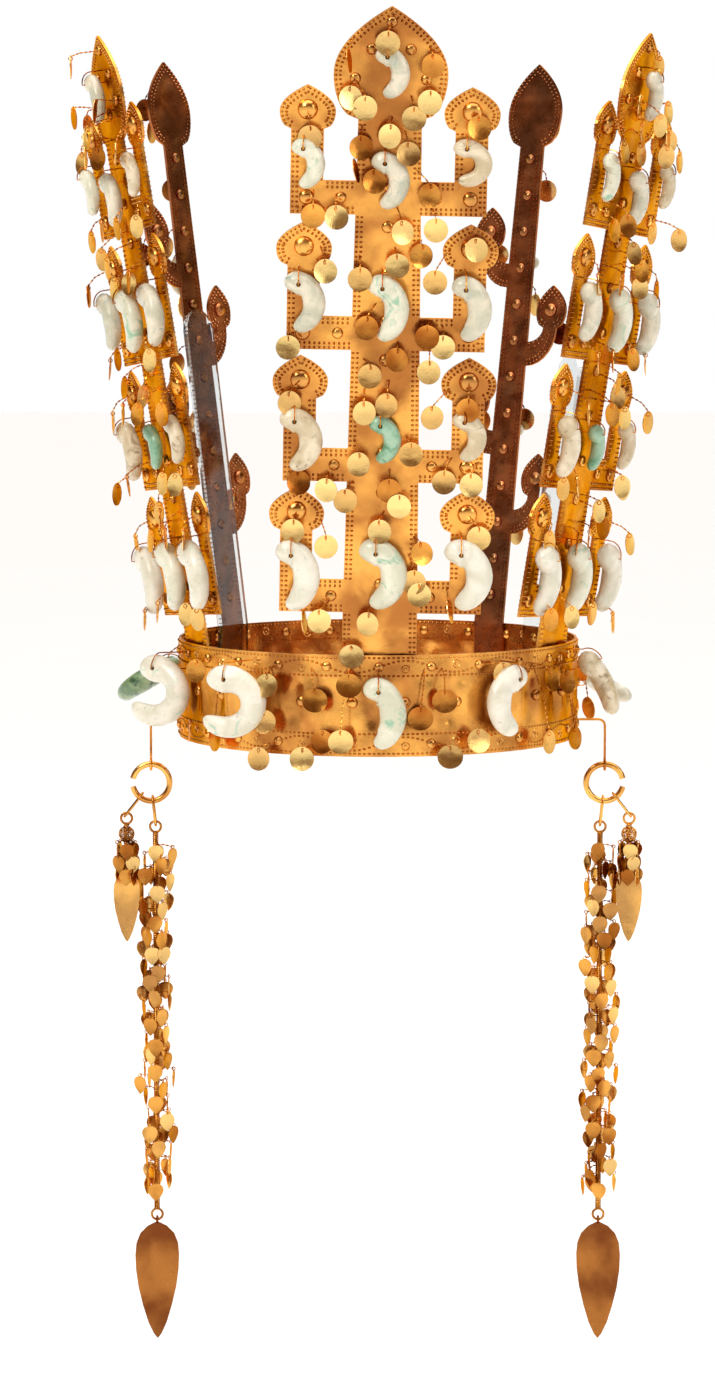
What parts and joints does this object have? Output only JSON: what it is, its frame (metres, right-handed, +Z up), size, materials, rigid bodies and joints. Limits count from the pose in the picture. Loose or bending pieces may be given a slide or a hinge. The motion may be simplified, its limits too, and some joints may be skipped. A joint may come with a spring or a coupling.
{
  "type": "gold crown with comma beads, two hanging pendants and clear display strips",
  "caption": "Tall sheet-gold crown with branched tree and antler uprights, jade comma beads, round spangles and long side pendants.",
  "frame": {"origin": "centre of the headband's lower edge, where the head goes in", "axes": "+Z up along the crown, -Y towards the front tree, +X to the viewer's right"},
  "size_m": [0.2669, 0.2603, 0.5984],
  "materials": {
    "gold": "satin",
    "white_jade": "polished",
    "cream_jade": "polished",
    "blue_jade": "polished",
    "mottled_jade": "polished",
    "green_jade": "polished",
    "clear_plastic": "clear"
  },
  "bodies": {
    "crown": {"band": "gold", "front_tree": "gold", "left_tree": "gold", "right_tree": "gold", "left_antler": "gold", "right_antler": "gold", "left_strip": "clear_plastic", "right_strip": "clear_plastic", "bead_a_left": "white_jade", "bead_a_centre": "mottled_jade", "bead_a_right": "white_jade", "bead_b_left": "cream_jade", "bead_b_centre": "green_jade", "bead_b_right": "cream_jade", "bead_c_left": "blue_jade", "bead_c_centre": "mottled_jade", "bead_c_right": "blue_jade", "bead_d_left": "mottled_jade", "bead_d_centre": "blue_jade", "bead_d_right": "cream_jade", "bead_top": "blue_jade", "band_bead_centre": "mottled_jade", "band_bead_left_front": "white_jade", "band_bead_right_front": "white_jade", "band_bead_left_side": "white_jade", "band_bead_right_side": "cream_jade", "band_bead_left_back": "mottled_jade", "band_bead_right_back": "blue_jade", "band_bead_left_rear": "cream_jade", "band_bead_right_rear": "white_jade"},
    "left_pendant": {"left_pendant_ring": "gold", "left_pendant_main_link": "gold", "left_pendant_short_link": "gold", "left_pendant_main_strand": "gold", "left_pendant_short_strand": "gold"},
    "left_leaf": {"left_pendant_end_leaf": "gold"},
    "right_pendant": {"right_pendant_ring": "gold", "right_pendant_main_link": "gold", "right_pendant_short_link": "gold", "right_pendant_main_strand": "gold", "right_pendant_short_strand": "gold"},
    "right_leaf": {"right_pendant_end_leaf": "gold"}
  },
  "joints": [
    {"name": "left_pendant_swing", "type": "hinge", "parent": "crown", "child": "left_pendant", "pos_m": [-0.103, 0, -0.0143], "axis": [1, 0, 0], "range_deg": [-35, 35]},
    {"name": "left_leaf_swing", "type": "hinge", "parent": "left_pendant", "child": "left_leaf", "pos_m": [-0.10109, 0, -0.22435], "axis": [1, 0, 0], "range_deg": [-30, 30]},
    {"name": "right_pendant_swing", "type": "hinge", "parent": "crown", "child": "right_pendant", "pos_m": [0.103, 0, -0.0143], "axis": [1, 0, 0], "range_deg": [-35, 35]},
    {"name": "right_leaf_swing", "type": "hinge", "parent": "right_pendant", "child": "right_leaf", "pos_m": [0.10109, 0, -0.22435], "axis": [1, 0, 0], "range_deg": [-30, 30]}
  ]
}
